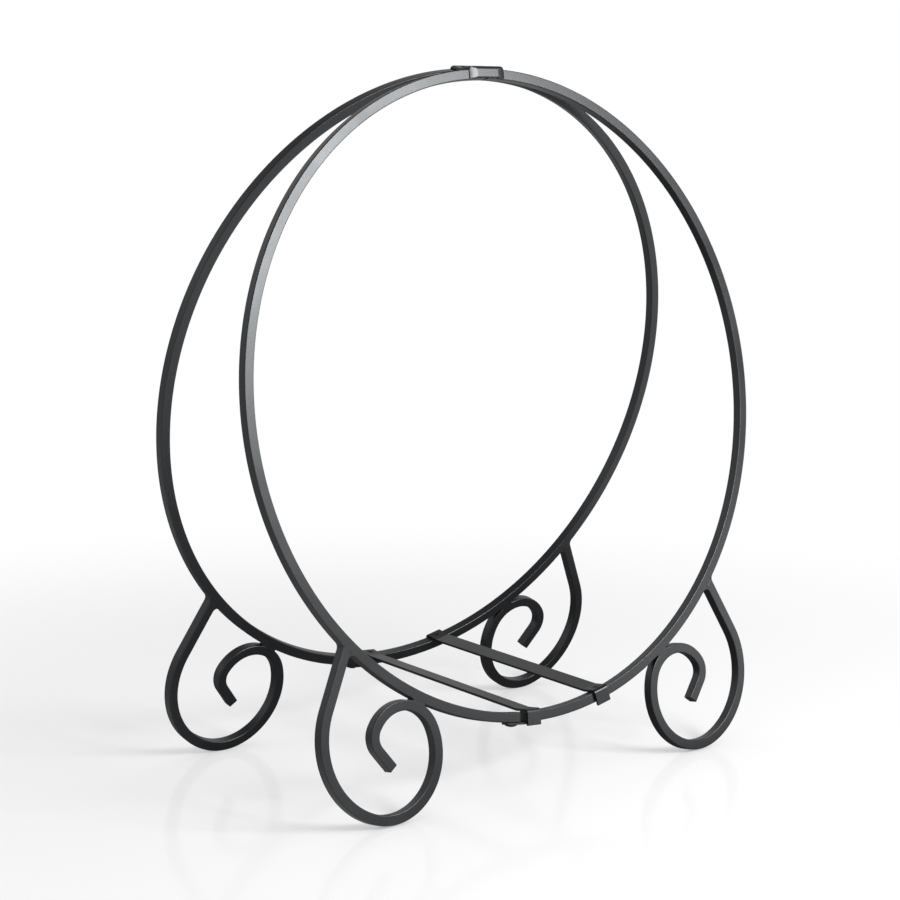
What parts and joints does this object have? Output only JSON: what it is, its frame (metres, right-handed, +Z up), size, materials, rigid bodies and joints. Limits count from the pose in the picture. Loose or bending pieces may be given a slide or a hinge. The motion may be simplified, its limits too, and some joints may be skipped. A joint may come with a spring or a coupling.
{
  "type": "log hoop",
  "caption": "Round firewood rack of two square-bar hoops leaning together at the top, tied at top and bottom, standing on scroll feet; logs lie through both hoops.",
  "frame": {"origin": "on the floor, under the middle of the rack", "axes": "+Z up, +X to the right along the plane of the hoops, -Y to the front, the side nearer the viewer"},
  "size_m": [0.7599, 0.3524, 0.8281],
  "materials": {
    "bar_coat": "satin black powder coat on square steel bar",
    "plate_coat": "satin black powder coat on pressed steel plate",
    "weld_coat": "satin black powder coat over dressed weld metal",
    "fastener_black": "black oxide steel, low sheen"
  },
  "bodies": {
    "root": {"front_left_half_hoop": "bar_coat", "front_left_scroll_foot": "bar_coat", "front_right_half_hoop": "bar_coat", "front_right_scroll_foot": "bar_coat", "rear_left_half_hoop": "bar_coat", "rear_left_scroll_foot": "bar_coat", "rear_right_half_hoop": "bar_coat", "rear_right_scroll_foot": "bar_coat", "top_saddle": "plate_coat", "tie_strap": "plate_coat", "right_tie_strap": "plate_coat", "front_splice_plate": "plate_coat", "rear_splice_plate": "plate_coat", "front_left_leg_welds": "weld_coat", "front_left_curl_weld": "weld_coat", "front_right_leg_welds": "weld_coat", "front_right_curl_weld": "weld_coat", "rear_left_leg_welds": "weld_coat", "rear_left_curl_weld": "weld_coat", "rear_right_leg_welds": "weld_coat", "rear_right_curl_weld": "weld_coat", "saddle_screws": "fastener_black", "splice_bolts": "fastener_black", "strap_screws": "fastener_black"}
  },
  "joints": []
}
